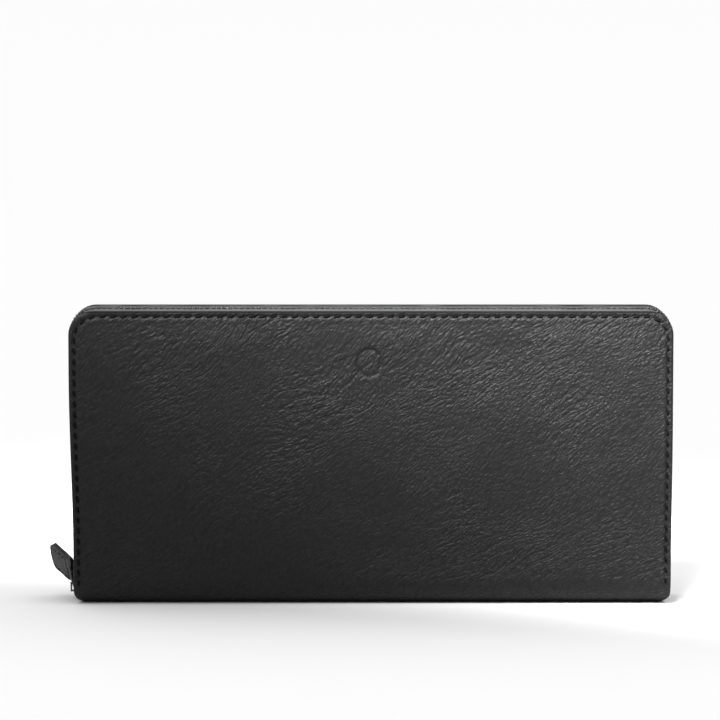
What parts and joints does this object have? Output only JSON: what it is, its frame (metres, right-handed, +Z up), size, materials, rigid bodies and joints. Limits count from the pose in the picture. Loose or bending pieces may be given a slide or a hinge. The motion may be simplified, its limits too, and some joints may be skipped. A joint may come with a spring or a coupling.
{
  "type": "long wallet",
  "caption": "Long zip-around leather wallet standing closed on its spine, with card pockets, bill compartments and a coin pocket inside.",
  "frame": {"origin": "centre of the spine's flat resting face", "axes": "+X along the length (the zip pull is at -X), +Y from the front cover to the back cover, +Z up from the spine to the zip"},
  "size_m": [0.2086, 0.026, 0.0987],
  "materials": {
    "outer_leather": "black pebbled calf, satin",
    "inner_leather": "black smooth leather, satin",
    "lining_cloth": "black twill cloth",
    "stiffener_board": "pressed grey board",
    "zip_tape": "black herringbone zip tape",
    "zip_teeth": "black nylon coil",
    "black_metal": "black plated, semi gloss",
    "thread": "black waxed thread"
  },
  "bodies": {
    "back_and_spine": {"cover_back_leather": "outer_leather", "cover_back_board": "stiffener_board", "cover_back_lining": "lining_cloth", "spine_leather": "outer_leather", "spine_board": "stiffener_board", "spine_lining": "lining_cloth", "back_card_pocket_1": "inner_leather", "back_card_pocket_2": "inner_leather", "back_card_pocket_3": "inner_leather", "back_card_pocket_4": "inner_leather", "zip_tape_back": "zip_tape", "zip_coil_back": "zip_teeth", "zip_tape_tails": "zip_tape", "zip_top_stops": "black_metal", "zip_bottom_stop": "black_metal", "stitching_back": "thread", "gusset_back_left": "inner_leather", "gusset_back_right": "inner_leather"},
    "front_cover": {"cover_front_leather": "outer_leather", "cover_front_board": "stiffener_board", "cover_front_lining": "lining_cloth", "front_card_pocket_1": "inner_leather", "front_card_pocket_2": "inner_leather", "front_card_pocket_3": "inner_leather", "front_card_pocket_4": "inner_leather", "zip_tape_front": "zip_tape", "zip_coil_front": "zip_teeth", "stitching_front": "thread", "gusset_front_left": "inner_leather", "gusset_front_right": "inner_leather"},
    "coin_block": {"coin_wall_front": "inner_leather", "coin_wall_back": "inner_leather", "coin_lining_front": "lining_cloth", "coin_lining_back": "lining_cloth", "mid_pocket_front_1": "inner_leather", "mid_pocket_front_2": "inner_leather", "mid_pocket_back_1": "inner_leather", "mid_pocket_back_2": "inner_leather", "coin_tape_front": "zip_tape", "coin_tape_back": "zip_tape", "coin_coil": "zip_teeth", "coin_stops": "black_metal"},
    "coin_zip_slider": {"coin_slider": "black_metal", "coin_bail": "black_metal"},
    "coin_zip_pull": {"coin_pull": "black_metal"},
    "zip_slider": {"slider_body": "black_metal", "slider_bail": "black_metal"},
    "pull_loop": {"pull_ring": "black_metal"},
    "pull_tab": {"tab_leather": "outer_leather", "tab_filler": "inner_leather", "tab_stitching": "thread"}
  },
  "joints": [
    {"name": "cover_hinge", "type": "hinge", "parent": "back_and_spine", "child": "front_cover", "pos_m": [0, -0.013, 0.009], "axis": [1, 0, 0], "range_deg": [0, 45], "deforming": ["gusset_back_left", "gusset_back_right", "gusset_front_left", "gusset_front_right"]},
    {"name": "coin_block_hinge", "type": "hinge", "parent": "back_and_spine", "child": "coin_block", "pos_m": [0, -0.013, 0.009], "axis": [1, 0, 0], "range_deg": [0, 23]},
    {"name": "zip_slide", "type": "slide", "parent": "back_and_spine", "child": "zip_slider", "axis": [0.0419, 0, -0.9991], "range_m": [-0.072, 0], "deforming": ["zip_coil_front", "zip_coil_back"]},
    {"name": "pull_loop_hinge", "type": "hinge", "parent": "zip_slider", "child": "pull_loop", "pos_m": [-0.09909, 0, 0.00421], "axis": [0, -1, 0], "range_deg": [0, 90]},
    {"name": "pull_tab_hinge", "type": "hinge", "parent": "pull_loop", "child": "pull_tab", "pos_m": [-0.09991, 0, 0.00975], "axis": [-0.1302, -0.454, 0.8814], "range_deg": [-20, 60]},
    {"name": "coin_zip_slide", "type": "slide", "parent": "coin_block", "child": "coin_zip_slider", "axis": [-1, 0, 0], "range_m": [0, 0.15], "deforming": ["coin_coil"]},
    {"name": "coin_pull_hinge", "type": "hinge", "parent": "coin_zip_slider", "child": "coin_zip_pull", "pos_m": [0.078, 0, 0.07955], "axis": [0, 1, 0], "range_deg": [0, 150]}
  ],
  "couplings": [
    {"joint": "coin_block_hinge", "follows": "cover_hinge", "ratio": 0.5}
  ]
}
